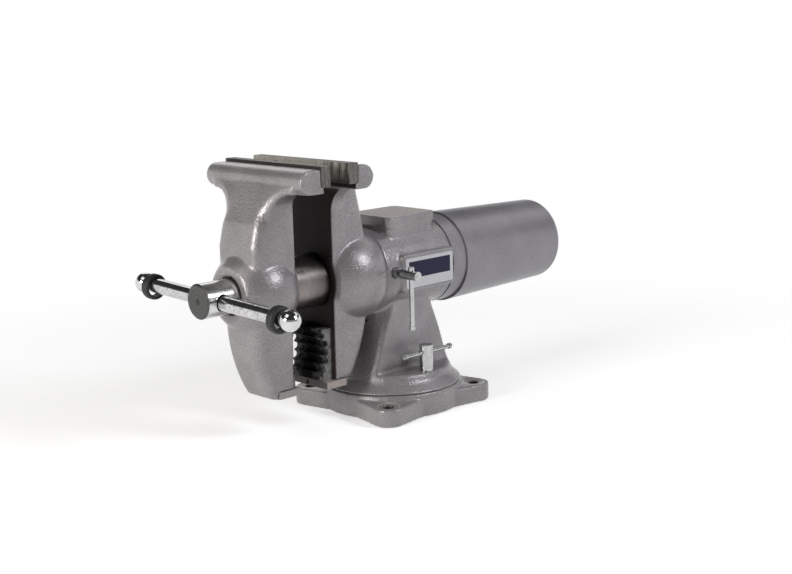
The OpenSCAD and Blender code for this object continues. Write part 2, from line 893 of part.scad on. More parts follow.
module front_jaw() {
    color("#8f9093") difference() {
        union() {
            front_upper();
            front_leg();
            intersection() {
                translate([0, front_hub_y, axis_h]) sphere(r = front_hub_r);
                span(-jaw_w, jaw_w, hub_face, front_seat + front_hub_rear, 0, jaw_top);
            }
            side_slab(jaw_w) bar_outline(front_seat, front_bar_d, -1);
            front_flares();
        }
        y_rod(bar_r + run, wall_rear, front_grip);
        y_rod(screw_r + run, hub_face - slack, wall_rear + slack);
        y_rod(head_pocket_r, hub_face - slack, wall_front);
        translate([0, front_face, 0]) mirror([0, 1, 0]) pipe_slot();
        insert_screw_holes(front_seat - screw_bite, front_seat + slack);
        for (s = [-1, 1]) translate([s * front_plate_screw_x, front_face - plate_screw_back, 0])
            z_rod(plate_body_r, foot_z - slack, foot_z + plate_bite);
    }
}

module front_jaw_insert() {
    color("#7d7468") translate([0, front_grip, 0]) mirror([0, 1, 0]) insert(0);
}

module front_insert_screws() {
    color("#4c4c4f") for (s = [-1, 1])
        translate([s * insert_screw_span / 2, front_grip - slack, insert_screw_z - axis_h])
            mirror([0, 1, 0]) insert_screw(0);
}

module front_pipe_jaw() {
    color("#4a4947") translate([0, front_face, 0]) mirror([0, 1, 0])
        pipe_jaw(front_pipe_w, front_pipe_d, front_pipe_back);
}

module front_bottom_plate() {
    color("#a89f92") translate([0, front_face + front_pipe_d, 0]) mirror([0, 1, 0])
        bottom_plate(front_foot_w, front_pipe_d + front_plate_d, plate_round,
                     front_plate_screw_x, front_pipe_d + plate_screw_back);
}

module front_plate_screws() {
    color("#4c4c4f") for (s = [-1, 1])
        translate([s * front_plate_screw_x, front_face - plate_screw_back, 0]) plate_screw();
}

module slide_bar() {
    color("#9d958c") difference() {
        y_rod(bar_r, wall_rear + seat, bar_tail);
        y_rod(bar_bore, wall_rear, bar_tail + slack);
        span(-key_w / 2 - seat, key_w / 2 + seat, slot_front, bar_tail + slack, axis_h - 2 * bar_r, axis_h);
    }
}

module spindle() {
    color("#b3b1ae") difference() {
        union() {
            y_cone(head_r - head_chamfer, head_r, head_tip, head_tip + head_chamfer);
            y_rod(head_r, head_tip + head_chamfer, head_rear);
            y_rod(screw_r, head_rear - slack, screw_tail);
        }
        y_cone(center_r, 0, head_tip, head_tip + center_r);
        at_handle() x_rod(rod_hole_r, -2 * head_r, 2 * head_r);
        translate([0, wall_rear + seat + collar_t / 2, axis_h]) x_rod(pin_r, -2 * screw_r, 2 * screw_r);
    }
}

module thrust_washer() {
    color("#a8883f") difference() {
        y_rod(head_pocket_r - seat * 3, wall_front - washer_t - seat / 2, wall_front - seat / 2);
        y_rod(screw_r + seat * 2, wall_front - 2 * washer_t, wall_front);
    }
}

module spindle_collar() {
    color("#77777a") difference() {
        y_rod(collar_ring_r, wall_rear + seat, wall_rear + seat + collar_t);
        y_rod(screw_r, wall_rear, wall_rear + 2 * collar_t);
        translate([0, wall_rear + seat + collar_t / 2, axis_h])
            x_rod(pin_r, -2 * collar_ring_r, 2 * collar_ring_r);
    }
}

module collar_pin() {
    color("#5e5e61") translate([0, wall_rear + seat + collar_t / 2, axis_h])
        x_rod(pin_r, -collar_ring_r + slack, collar_ring_r - slack);
}

// Frame of the handle, X along its rod
module at_handle() {
    translate([0, rod_y, axis_h - rod_drop]) rotate([0, handle_turn, 0]) children();
}

module handle_rod() {
    color("#c9cacc") at_handle() x_rod(rod_r, -rod_half, rod_half);
}

module handle_balls() {
    color("#d4d5d7") at_handle() for (m = [0, 1]) mirror([m, 0, 0]) difference() {
        translate([ball_x, 0, 0]) sphere(r = ball_r);
        x_rod(rod_r, 0, rod_half);
    }
}

module handle_bumpers() {
    color("#26262a") at_handle() for (m = [0, 1]) mirror([m, 0, 0])
        translate([bumper_x - bumper_t / 2, 0, -bumper_hang]) rotate([0, 90, 0])
            rotate_extrude() difference() {
                translate([bumper_bore, 0]) square([bumper_r - bumper_bore, bumper_t]);
                translate([bumper_r, bumper_t]) corner_waste(bumper_round);
                translate([bumper_r, 0]) mirror([0, 1]) corner_waste(bumper_round);
            }
}

swivel_base();
pivot_pin();
body_casting();
name_plate();
lock_studs();
head_lock_shoe();
swivel_lock_nut_right();
swivel_lock_bar_right();
swivel_lock_nut_left();
swivel_lock_bar_left();
head_lock_screw();
head_lock_bar();
fixed_jaw();
fixed_jaw_insert();
fixed_insert_screws();
fixed_pipe_jaw();
fixed_bottom_plate();
fixed_plate_screws();
retaining_ring();
rear_cover();
spindle_nut();
front_jaw();
front_jaw_insert();
front_insert_screws();
front_pipe_jaw();
front_bottom_plate();
front_plate_screws();
slide_bar();
spindle();
thrust_washer();
spindle_collar();
collar_pin();
handle_rod();
handle_balls();
handle_bumpers();
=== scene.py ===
"""Multipurpose bench vise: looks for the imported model. Metres, in the model's own frame."""
import json
import math
import bmesh
import bpy
from mathutils import Matrix, Vector


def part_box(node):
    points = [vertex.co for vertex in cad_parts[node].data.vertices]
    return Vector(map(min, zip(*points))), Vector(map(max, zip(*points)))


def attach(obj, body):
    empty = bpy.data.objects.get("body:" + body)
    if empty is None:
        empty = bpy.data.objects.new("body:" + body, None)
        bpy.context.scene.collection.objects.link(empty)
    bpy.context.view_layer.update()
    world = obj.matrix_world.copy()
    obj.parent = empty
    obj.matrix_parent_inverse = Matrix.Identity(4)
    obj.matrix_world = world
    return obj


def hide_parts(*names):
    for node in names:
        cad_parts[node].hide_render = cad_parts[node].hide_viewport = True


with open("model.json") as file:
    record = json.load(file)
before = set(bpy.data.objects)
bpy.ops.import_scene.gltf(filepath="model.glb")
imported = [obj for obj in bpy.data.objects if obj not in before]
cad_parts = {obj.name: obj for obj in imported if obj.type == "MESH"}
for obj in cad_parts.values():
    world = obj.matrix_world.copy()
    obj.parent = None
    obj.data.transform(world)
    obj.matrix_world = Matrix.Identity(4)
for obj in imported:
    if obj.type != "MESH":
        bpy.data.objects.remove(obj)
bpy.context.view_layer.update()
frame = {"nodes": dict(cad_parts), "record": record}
NODES = frame["nodes"]
RECORD = frame["record"]
BODY_OF = {node: body for body, names in RECORD["behaviour"]["bodies"].items() for node in names}
SLOT_OF = {piece["node"]: piece["material_slot"] for piece in RECORD["subparts"]}
scene = bpy.context.scene

# Places on the vise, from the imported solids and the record
AXIS_H = (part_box("rear_cover")[0][2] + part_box("rear_cover")[1][2]) / 2
ANVIL_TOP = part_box("body_casting")[1][2]
JAW_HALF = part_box("fixed_jaw")[1][0]
FRONT_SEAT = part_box("front_jaw_insert")[0][1]
FIXED_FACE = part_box("fixed_jaw_insert")[1][1]
PLATE_SPLIT = (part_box("front_bottom_plate")[1][1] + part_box("fixed_bottom_plate")[0][1]) / 2
RING_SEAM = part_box("retaining_ring")[0][1]
PIPE_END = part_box("fixed_pipe_jaw")[1][0]
BOLTS = next(mount["dims"] for mount in RECORD["mounts"] if mount["name"] == "bench_bolts")
MM = 0.001
BOLT_X = BOLTS["spacing_x_mm"] * MM / 2
BOLT_Y = BOLTS["spacing_y_mm"] * MM / 2
# Where the turning head meets the collar, along the long axis
HEAD_SEAM = -0.0509


# Node helpers
class Graph:
    """Short calls for building one material's nodes."""

    def __init__(self, name):
        self.mat = bpy.data.materials.new(name)
        self.mat.use_nodes = True
        self.tree = self.mat.node_tree
        self.shader = self.tree.nodes["Principled BSDF"]

    def node(self, kind, **props):
        made = self.tree.nodes.new(kind)
        for key, value in props.items():
            setattr(made, key, value)
        return made

    def link(self, out, into):
        self.tree.links.new(out, into)

    def set(self, **values):
        """Plain numbers on the shader's sockets, whose names have spaces for the low lines."""
        for key, value in values.items():
            self.shader.inputs[key.replace("_", " ")].default_value = value

    def feed(self, name, value):
        """A changing value into one of the shader's sockets."""
        self.link(value, self.shader.inputs[name])

    def colour(self, value):
        self.feed("Base Color", value)

    def rough(self, value):
        self.feed("Roughness", value)

    def normal(self, value):
        self.feed("Normal", value)

    def place(self):
        """Object coordinates: metres in the model's frame."""
        return self.node("ShaderNodeTexCoord").outputs["Object"]

    def facing(self):
        """The surface's direction in the piece's own frame, so that it holds in every pose."""
        return self.axes(self.node("ShaderNodeTexCoord").outputs["Normal"])

    def axes(self, where):
        made = self.node("ShaderNodeSeparateXYZ")
        self.link(where, made.inputs[0])
        return made.outputs[:3]

    def noise(self, where, scale, detail=2.0, rough=0.5, stretch=None):
        if stretch:
            where = self.stretch(where, stretch)
        made = self.node("ShaderNodeTexNoise")
        made.inputs["Scale"].default_value = scale
        made.inputs["Detail"].default_value = detail
        made.inputs["Roughness"].default_value = rough
        self.link(where, made.inputs["Vector"])
        return made.outputs["Fac"]

    def stretch(self, where, factors):
        made = self.node("ShaderNodeVectorMath", operation="MULTIPLY")
        made.inputs[1].default_value = factors
        self.link(where, made.inputs[0])
        return made.outputs["Vector"]

    def cells(self, where, scale, smooth):
        """Distance to the middle of the nearest of many rounded cells."""
        made = self.node("ShaderNodeTexVoronoi", feature="SMOOTH_F1")
        made.inputs["Scale"].default_value = scale
        made.inputs["Smoothness"].default_value = smooth
        self.link(where, made.inputs["Vector"])
        return made.outputs["Distance"]

    def math(self, operation, a, b=None):
        made = self.node("ShaderNodeMath", operation=operation)
        for i, value in enumerate((a, b)):
            if value is None:
                continue
            if isinstance(value, (int, float)):
                made.inputs[i].default_value = value
            else:
                self.link(value, made.inputs[i])
        return made.outputs[0]

    def blend(self, a, share, b):
        """A share of one value and the rest of another."""
        return self.math("ADD", self.math("MULTIPLY", a, share), self.math("MULTIPLY", b, 1 - share))

    def hypot(self, a, b):
        squares = self.math("ADD", self.math("MULTIPLY", a, a), self.math("MULTIPLY", b, b))
        return self.math("SQRT", squares)

    def far_from_axis(self, x, z):
        """Distance from the vise's long axis."""
        return self.hypot(x, self.math("SUBTRACT", z, AXIS_H))

    def within(self, value, start, end):
        """One between two bounds, otherwise zero."""
        past_start = self.math("GREATER_THAN", value, start)
        return self.math("MULTIPLY", past_start, self.math("LESS_THAN", value, end))

    def span(self, value, low, high, to_low, to_high):
        """A value's range moved to another range, clamped at both ends."""
        made = self.node("ShaderNodeMapRange")
        bounds = (("From Min", low), ("From Max", high), ("To Min", to_low), ("To Max", to_high))
        for key, bound in bounds:
            made.inputs[key].default_value = bound
        self.link(value, made.inputs["Value"])
        return made.outputs["Result"]

    def ramp(self, value, stops):
        made = self.node("ShaderNodeValToRGB")
        band = made.color_ramp
        while len(band.elements) < len(stops):
            band.elements.new(0.5)
        for element, (pos, colour) in zip(band.elements, stops):
            element.position = pos
            element.color = (*colour, 1.0)
        self.link(value, made.inputs["Fac"])
        return made.outputs["Color"]

    def mix(self, share, a, b):
        """Colour a where the share is zero, colour b where it is one."""
        made = self.node("ShaderNodeMix", data_type="RGBA")
        self.link(share, made.inputs[0])
        for socket, value in ((made.inputs[6], a), (made.inputs[7], b)):
            if isinstance(value, tuple):
                socket.default_value = (*value, 1.0)
            else:
                self.link(value, socket)
        return made.outputs[2]

    def bump(self, height, distance, strength, under=None):
        made = self.node("ShaderNodeBump")
        made.inputs["Distance"].default_value = distance
        made.inputs["Strength"].default_value = strength
        self.link(height, made.inputs["Height"])
        if under is not None:
            self.link(under, made.inputs["Normal"])
        return made.outputs["Normal"]


# Paints
def hammered(g, p):
    """Silver grey hammered paint: its tone, and the waves that its gloss follows."""
    pebble = g.cells(p, 430, 0.7)
    grain = g.noise(p, 760, 2.0, 0.6)
    waves = g.noise(p, 26, 2.0, 0.5)
    dark, plain, bright = (0.204, 0.193, 0.198), (0.298, 0.282, 0.290), (0.428, 0.407, 0.417)
    colour = g.ramp(g.blend(grain, 0.70, waves), [(0.32, dark), (0.50, plain), (0.68, bright)])
    low = g.bump(waves, 0.0016, 0.05)
    mid = g.bump(pebble, 0.0012, 0.29, low)
    g.normal(g.bump(grain, 0.0006, 0.45, mid))
    return colour, waves


def cast_paint():
    """Hammered paint, less glossy low down, dark in the seams of the head, with painted shade on the inner
    face of the fixed jaw.
    """
    seam_before, head_after, ring_after, collar_reach = 0.0009, 0.0008, 0.0006, 0.0600
    inner_before, inner_after = 0.004, 0.006
    dull_z, gloss_z = 0.060, 0.110
    g = Graph("cast_paint")
    p = g.place()
    x, y, z = g.axes(p)
    colour, waves = hammered(g, p)
    head = g.within(y, HEAD_SEAM - seam_before, HEAD_SEAM + head_after)
    ring = g.within(y, RING_SEAM - seam_before, RING_SEAM + ring_after)
    near = g.math("LESS_THAN", g.far_from_axis(x, z), collar_reach)
    seam = g.math("MULTIPLY", g.math("MAXIMUM", head, ring), near)
    # Painted shade: the fixed jaw's inner face, shaded by the front jaw, gets a near-black tone and little
    # gloss.
    front = g.span(g.facing()[1], -0.55, -0.92, 0.0, 1.0)
    inner = g.math("MULTIPLY", front, g.within(y, FIXED_FACE - inner_before, FIXED_FACE + inner_after))
    shade = g.ramp(waves, [(0.35, (0.017, 0.012, 0.011)), (0.65, (0.036, 0.027, 0.025))])
    g.colour(g.mix(seam, g.mix(inner, colour, shade), (0.03, 0.028, 0.028)))
    g.rough(g.span(inner, 0.0, 1.0, 0.34, 0.62))
    coat = g.math("MULTIPLY", g.span(inner, 0.0, 1.0, 1.0, 0.05), g.span(z, dull_z, gloss_z, 0.22, 0.70))
    g.feed("Coat Weight", coat)
    g.feed("Metallic", g.span(inner, 0.0, 1.0, 0.30, 0.0))
    g.feed("Specular IOR Level", g.span(inner, 0.0, 1.0, 0.50, 0.16))
    g.set(Coat_Roughness=0.26)
    return g.mat


def base_paint():
    """Hammered paint of the base with bare spot faces around its bolt holes, a painted highlight ring round
    them and painted shade in the holes.
    """
    hole_r, face_r, highlight_r = 0.0068, 0.0118, 0.0134
    g = Graph("base_paint")
    p = g.place()
    x, y = g.axes(p)[:2]
    colour, waves = hammered(g, p)
    from_x = g.math("SUBTRACT", g.math("ABSOLUTE", x), BOLT_X)
    from_y = g.math("SUBTRACT", g.math("ABSOLUTE", y), BOLT_Y)
    reach = g.hypot(from_x, from_y)
    top = g.math("GREATER_THAN", g.facing()[2], 0.75)
    bare = g.ramp(g.noise(p, 420, 2.0, 0.6), [(0.35, (0.20, 0.185, 0.165)), (0.65, (0.36, 0.34, 0.31))])
    # A pale painted highlight ring round each spot face.
    rim = g.math("MULTIPLY", top, g.within(reach, face_r, highlight_r))
    face = g.math("MULTIPLY", top, g.within(reach, hole_r, face_r))
    # Painted shade on the walls of the bolt holes.
    hole = g.math("LESS_THAN", reach, hole_r)
    highlighted = g.mix(rim, g.mix(face, colour, bare), (0.56, 0.54, 0.52))
    g.colour(g.mix(hole, highlighted, (0.06, 0.056, 0.052)))
    g.rough(g.span(waves, 0.3, 0.7, 0.31, 0.37))
    g.set(Metallic=0.30, Coat_Weight=0.40, Coat_Roughness=0.26)
    return g.mat


def smooth_paint():
    """The same paint on turned pieces: finer and smoother."""
    g = Graph("smooth_paint")
    p = g.place()
    grain = g.noise(p, 700, 2.0, 0.5)
    waves = g.noise(p, 22, 2.0, 0.5)
    dark, plain, bright = (0.228, 0.217, 0.234), (0.305, 0.290, 0.312), (0.391, 0.373, 0.399)
    g.colour(g.ramp(g.blend(grain, 0.60, waves), [(0.30, dark), (0.52, plain), (0.72, bright)]))
    g.rough(g.span(waves, 0.3, 0.7, 0.34, 0.42))
    g.normal(g.bump(grain, 0.0004, 0.22))
    g.set(Metallic=0.20, Coat_Weight=0.40, Coat_Roughness=0.30)
    return g.mat


# Bare and plated metals
def machined_iron():
    """Ground cast iron: the anvil face."""
    g = Graph("machined_iron")
    p = g.place()
    lay = g.noise(p, 90, 3.0, 0.6, (1.0, 14.0, 1.0))
    spots = g.noise(p, 240, 2.0, 0.5)
    g.colour(g.ramp(g.blend(lay, 0.6, spots), [(0.30, (0.60, 0.555, 0.53)), (0.70, (0.78, 0.735, 0.71))]))
    g.rough(g.span(lay, 0.3, 0.7, 0.60, 0.74))
    g.normal(g.bump(lay, 0.0003, 0.22))
    g.set(Metallic=0.65)
    return g.mat


def jaw_steel():
    """Tool steel: brown grey ends, pale streaked grip faces with cross cut serrations and painted shade
    towards their bottom, a dark back strip.
    """
    tooth_pitch, strip = 0.0022, 0.001
    clean_x, worn_x = 0.020, 0.062
    shade_x_from, shade_x_full = -0.020, 0.060
    shade_z_from, shade_z_full = 0.297, 0.285
    g = Graph("jaw_steel")
    p = g.place()
    x, y, z = g.axes(p)
    streak = g.noise(p, 60, 3.0, 0.6, (6.0, 6.0, 1.0))
    spots = g.noise(p, 300, 2.0, 0.5)
    lines = g.noise(p, 110, 2.0, 0.6, (4.0, 1.0, 0.30))
    tone = g.blend(streak, 0.65, spots)
    dark, plain, bright = (0.085, 0.076, 0.068), (0.165, 0.150, 0.138), (0.270, 0.250, 0.232)
    ground = g.ramp(tone, [(0.28, dark), (0.50, plain), (0.74, bright)])
    dark, plain, bright = (0.24, 0.225, 0.190), (0.38, 0.360, 0.315), (0.52, 0.495, 0.445)
    pale = g.ramp(tone, [(0.28, dark), (0.50, plain), (0.74, bright)])
    # Dark brown for the worn streaks and for the painted shade low on the grip faces.
    brown = g.ramp(spots, [(0.30, (0.018, 0.014, 0.010)), (0.72, (0.060, 0.048, 0.036))])
    scale = g.ramp(tone, [(0.30, (0.016, 0.014, 0.012)), (0.72, (0.050, 0.045, 0.040))])
    worn = g.math("MULTIPLY", g.span(x, clean_x, worn_x, 0.0, 1.0), g.span(lines, 0.42, 0.58, 0.0, 1.0))
    # Painted shade: the grip faces darken towards the bottom, more towards the +X end.
    deep_shade = g.math("MULTIPLY", g.span(x, shade_x_from, shade_x_full, 0.0, 1.0), g.span(z, shade_z_from, shade_z_full, 0.0, 1.0))
    along = g.facing()[1]
    grip = g.math("GREATER_THAN", g.math("ABSOLUTE", along), 0.9)
    back = g.math("MULTIPLY", g.math("LESS_THAN", y, FRONT_SEAT + strip), g.math("LESS_THAN", along, -0.9))
    face = g.mix(g.math("MAXIMUM", worn, deep_shade), pale, brown)
    g.colour(g.mix(back, g.mix(grip, ground, face), scale))
    g.rough(g.span(streak, 0.3, 0.7, 0.40, 0.56))
    turns = 2 * math.pi / tooth_pitch
    rising = g.math("SINE", g.math("MULTIPLY", g.math("ADD", x, z), turns))
    falling = g.math("SINE", g.math("MULTIPLY", g.math("SUBTRACT", x, z), turns))
    teeth = g.math("MULTIPLY", g.math("MAXIMUM", rising, falling), grip)
    g.normal(g.bump(teeth, 0.0005, 0.60, g.bump(spots, 0.0003, 0.20)))
    g.set(Metallic=0.35)
    return g.mat


def pipe_jaw_steel():
    """Teeth near black, black hardened steel deepened with painted shade between the jaws; bare grey on the
    flat ends, and painted light in grey on the teeth near the ends.
    """
    light_start, light_full = 0.021, 0.009
    g = Graph("pipe_jaw_steel")
    p = g.place()
    scale = g.noise(p, 160, 3.0, 0.6)
    end = g.math("GREATER_THAN", g.math("ABSOLUTE", g.facing()[0]), 0.9)
    # Near-black teeth: black steel made darker still as painted shade.
    dark = g.ramp(scale, [(0.30, (0.004, 0.0035, 0.0033)), (0.72, (0.013, 0.0115, 0.011))])
    low, plain, bright = (0.13, 0.125, 0.123), (0.26, 0.252, 0.250), (0.38, 0.372, 0.370)
    bare = g.ramp(scale, [(0.34, low), (0.50, plain), (0.70, bright)])
    # Painted light: the teeth turn grey towards the ends, where light reaches in between the jaws.
    side = g.math("ABSOLUTE", g.axes(p)[0])
    nearby = g.span(side, PIPE_END - light_start, PIPE_END - light_full, 0.0, 0.90)
    end_light = g.math("MULTIPLY", nearby, g.span(scale, 0.40, 0.60, 0.30, 1.0))
    g.colour(g.mix(g.math("MAXIMUM", end, end_light), dark, bare))
    g.rough(g.span(scale, 0.3, 0.7, 0.55, 0.72))
    g.normal(g.bump(scale, 0.0005, 0.35))
    g.feed("Specular IOR Level", g.span(end, 0.0, 1.0, 0.03, 0.40))
    return g.mat


def plate_steel():
    """Bare rolled steel, warm behind and greyer in front, with painted shade on the front edges of the rear
    plate.
    """
    g = Graph("plate_steel")
    p = g.place()
    behind = g.math("GREATER_THAN", g.axes(p)[1], PLATE_SPLIT)
    roll = g.noise(p, 120, 3.0, 0.6, (1.0, 5.0, 5.0))
    warm = g.ramp(roll, [(0.28, (0.37, 0.325, 0.300)), (0.72, (0.58, 0.525, 0.490))])
    grey = g.ramp(roll, [(0.28, (0.30, 0.290, 0.275)), (0.72, (0.46, 0.445, 0.425))])
    front_shade = g.ramp(roll, [(0.28, (0.050, 0.046, 0.043)), (0.72, (0.110, 0.102, 0.097))])
    # Painted shade on the rear plate's front edges, which the front jaw shades.
    shaded = g.math("MULTIPLY", g.math("LESS_THAN", g.facing()[1], -0.9), behind)
    g.colour(g.mix(shaded, g.mix(behind, grey, warm), front_shade))
    g.rough(g.span(roll, 0.3, 0.7, 0.42, 0.58))
    g.normal(g.bump(roll, 0.0003, 0.20))
    g.set(Metallic=0.30)
    return g.mat


def bar_steel():
    """Turned satin bar, fine marks around it, painted shade dark where it enters the fixed jaw."""
    shade_from, deep_shade = 0.030, 0.002
    g = Graph("bar_steel")
    p = g.place()
    turn = g.noise(p, 900, 2.0, 0.6, (0.05, 1.0, 0.05))
    stain = g.noise(p, 40, 3.0, 0.6)
    tone = g.blend(turn, 0.5, stain)
    bare = g.ramp(tone, [(0.32, (0.170, 0.150, 0.144)), (0.70, (0.300, 0.270, 0.260))])
    shaded_tone = g.ramp(tone, [(0.32, (0.060, 0.050, 0.046)), (0.70, (0.130, 0.112, 0.104))])
    # Painted shade: the bar darkens towards the fixed jaw, in the shade between the jaws.
    jaw_shade = g.span(g.axes(p)[1], FIXED_FACE - shade_from, FIXED_FACE - deep_shade, 0.0, 1.0)
    g.colour(g.mix(jaw_shade, bare, shaded_tone))
    g.rough(g.span(stain, 0.3, 0.7, 0.26, 0.38))
    g.normal(g.bump(turn, 0.0002, 0.18))
    g.set(Metallic=0.9)
    return g.mat


def turned_steel():
    """Bright turned steel: dark tool rings on the end face, marks around the side."""
    ring_pitch, core_r = 0.0046, 0.0035
    g = Graph("turned_steel")
    p = g.place()
    x, z = g.axes(p)[::2]
    radius = g.far_from_axis(x, z)
    rings = g.math("SINE", g.math("MULTIPLY", radius, 2 * math.pi / ring_pitch))
    marks = g.noise(p, 800, 2.0, 0.6, (0.05, 1.0, 0.05))
    stain = g.noise(p, 60, 3.0, 0.6)
    end = g.math("GREATER_THAN", g.math("ABSOLUTE", g.facing()[1]), 0.7)
    side_tone = g.ramp(stain, [(0.30, (0.55, 0.545, 0.54)), (0.70, (0.70, 0.695, 0.69))])
    cut = g.blend(g.span(rings, -1.0, 1.0, 0.0, 1.0), 0.7, stain)
    dark, plain, bright = (0.098, 0.097, 0.096), (0.108, 0.106, 0.105), (0.130, 0.128, 0.126)
    end_tone = g.ramp(cut, [(0.10, dark), (0.50, plain), (0.90, bright)])
    g.colour(g.mix(end, side_tone, end_tone))
    core = g.math("LESS_THAN", radius, core_r)
    g.rough(g.math("MAXIMUM", g.span(end, 0.0, 1.0, 0.20, 0.44), g.math("MULTIPLY", core, 0.75)))
    g.normal(g.bump(marks, 0.0001, 0.12))
    g.set(Metallic=1.0)
    return g.mat


def bright_chrome():
    """Polished plating with handling marks, and fine brown specks on the rod."""
    rod_half = 0.1135
    g = Graph("bright_chrome")
    p = g.place()
    marks = g.noise(p, 130, 3.0, 0.65)
    rod = g.math("LESS_THAN", g.math("ABSOLUTE", g.axes(p)[0]), rod_half)
    specks = g.math("MULTIPLY", g.noise(p, 420, 4.0, 0.75), rod)
    clean = g.ramp(marks, [(0.30, (0.58, 0.58, 0.585)), (0.70, (0.74, 0.74, 0.745))])
    g.colour(g.mix(g.span(specks, 0.50, 0.66, 0.0, 0.85), clean, (0.24, 0.22, 0.20)))
    g.rough(g.span(specks, 0.35, 0.65, 0.08, 0.26))
    g.normal(g.bump(specks, 0.0003, 0.14))
    g.set(Metallic=1.0)
    return g.mat


def zinc_steel():
    """Bright smooth plating."""
    g = Graph("zinc_steel")
    mottle = g.noise(g.place(), 160, 2.0, 0.5)
    g.colour(g.ramp(mottle, [(0.30, (0.42, 0.425, 0.425)), (0.70, (0.56, 0.565, 0.565))]))
    g.rough(g.span(mottle, 0.3, 0.7, 0.14, 0.22))
    g.normal(g.bump(mottle, 0.0001, 0.03))
    g.set(Metallic=1.0)
    return g.mat


def dark_steel():
    """Black oxide on fasteners and inner pieces."""
    g = Graph("dark_steel")
    mottle = g.noise(g.place(), 260, 2.0, 0.5)
    g.colour(g.ramp(mottle, [(0.30, (0.035, 0.035, 0.037)), (0.70, (0.075, 0.075, 0.078))]))
    g.rough(g.span(mottle, 0.3, 0.7, 0.36, 0.50))
    g.normal(g.bump(mottle, 0.0002, 0.15))
    g.set(Metallic=0.8)
    return g.mat


def bronze():
    """Machined bronze of hidden pieces."""
    g = Graph("bronze")
    marks = g.noise(g.place(), 400, 2.0, 0.5, (0.2, 1.0, 0.2))
    g.colour(g.ramp(marks, [(0.30, (0.42, 0.27, 0.09)), (0.70, (0.60, 0.42, 0.17))]))
    g.rough(g.span(marks, 0.3, 0.7, 0.26, 0.40))
    g.normal(g.bump(marks, 0.0002, 0.15))
    g.set(Metallic=1.0)
    return g.mat


# Rubber and print
def black_rubber():
    """Moulded black rubber."""
    g = Graph("black_rubber")
    grain = g.noise(g.place(), 700, 2.0, 0.5)
    g.colour(g.ramp(grain, [(0.3, (0.012, 0.012, 0.013)), (0.7, (0.026, 0.026, 0.028))]))
    g.rough(g.span(grain, 0.3, 0.7, 0.48, 0.62))
    g.normal(g.bump(grain, 0.0003, 0.20))
    return g.mat


def label_metal():
    """Plain printed plate: pale rim, dark blank panel, pale strip, no words."""
    rim_side, rim_top, strip = 0.0045, 0.0042, 0.0115
    low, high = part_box("name_plate")
    g = Graph("label_metal")
    p = g.place()
    y, z = g.axes(p)[1:]
    grain = g.noise(p, 500, 2.0, 0.5)
    across = g.within(y, low[1] + rim_side, high[1] - rim_side)
    panel = g.math("MULTIPLY", across, g.within(z, low[2] + strip, high[2] - rim_top))
    pale = g.ramp(grain, [(0.3, (0.76, 0.76, 0.79)), (0.7, (0.86, 0.86, 0.88))])
    dark = g.ramp(grain, [(0.3, (0.012, 0.013, 0.045)), (0.7, (0.020, 0.021, 0.062))])
    g.colour(g.mix(panel, pale, dark))
    g.rough(g.span(grain, 0.3, 0.7, 0.38, 0.50))
    g.normal(g.bump(grain, 0.0001, 0.08))
    g.set(Specular_IOR_Level=0.25)
    return g.mat


MAKERS = (
    cast_paint, base_paint, smooth_paint, machined_iron, jaw_steel, pipe_jaw_steel, plate_steel, bar_steel,
    turned_steel, bright_chrome, zinc_steel, dark_steel, bronze, black_rubber, label_metal,
)
MATS = {make.__name__: make() for make in MAKERS}


# CAD nodes keep their shape and get their materials
def paint(obj, name):
    obj.data.materials.clear()
    obj.data.materials.append(MATS[name])


def shade_smooth(mesh):
    for poly in mesh.polygons:
        poly.use_smooth = True


SHARP_ANGLE = math.radians(32)
for node_name, obj in NODES.items():
    paint(obj, SLOT_OF[node_name])
    shade_smooth(obj.data)
    obj.data.set_sharp_from_angle(angle=SHARP_ANGLE)
for node_name in ("retaining_ring", "rear_cover"):
    paint(NODES[node_name], "smooth_paint")


# Castings with worn edges; the skins are depths below a machined face
VOXEL = 0.0016
CUT_SKIN = 0.0006
ANVIL_SKIN = 0.0012
UPWARD = 0.7
BOLT_RIM_R = 0.0085


def at_bolt(c):
    """Near a bolt hole, whose rim stays crisp."""
    return math.hypot(abs(c.x) - BOLT_X, abs(c.y) - BOLT_Y) < BOLT_RIM_R


def at_anvil(c):
    return c.z > ANVIL_TOP - CUT_SKIN


def at_jaw_end(c):
    return abs(c.x) > JAW_HALF - CUT_SKIN


def soften(node_name, rounds, keep):
    """A copy of a casting with its edges worn soft, as cast and painted metal has them."""
    source = NODES[node_name]
    made = bpy.data.objects.new("cast_" + node_name, source.data.copy())
    scene.collection.objects.link(made)
    mod = made.modifiers.new("remesh", "REMESH")
    mod.mode = "VOXEL"
    mod.voxel_size = VOXEL
    graph = bpy.context.evaluated_depsgraph_get()
    graph.update()
    mesh = bpy.data.meshes.new_from_object(made.evaluated_get(graph))
    made.modifiers.clear()
    old = made.data
    made.data = mesh
    bpy.data.meshes.remove(old)
    bm = bmesh.new()
    bm.from_mesh(mesh)
    free = [v for v in bm.verts if not keep(v.co)]
    for _ in range(rounds):
        bmesh.ops.smooth_vert(bm, verts=free, factor=0.5, use_axis_x=True, use_axis_y=True, use_axis_z=True)
    bm.to_mesh(mesh)
    bm.free()
    shade_smooth(mesh)
    paint(made, "cast_paint")
    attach(made, BODY_OF[node_name])
    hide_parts(node_name)
    return made


def grind_anvil(obj):
    """Gives the top faces of the anvil their bare metal."""
    obj.data.materials.append(MATS["machined_iron"])
    for poly in obj.data.polygons:
        if poly.center.z > ANVIL_TOP - ANVIL_SKIN and poly.normal.z > UPWARD:
            poly.material_index = 1


paint(soften("swivel_base", 6, at_bolt), "base_paint")
grind_anvil(soften("body_casting", 5, at_anvil))
soften("fixed_jaw", 5, at_jaw_end)
soften("front_jaw", 5, at_jaw_end)


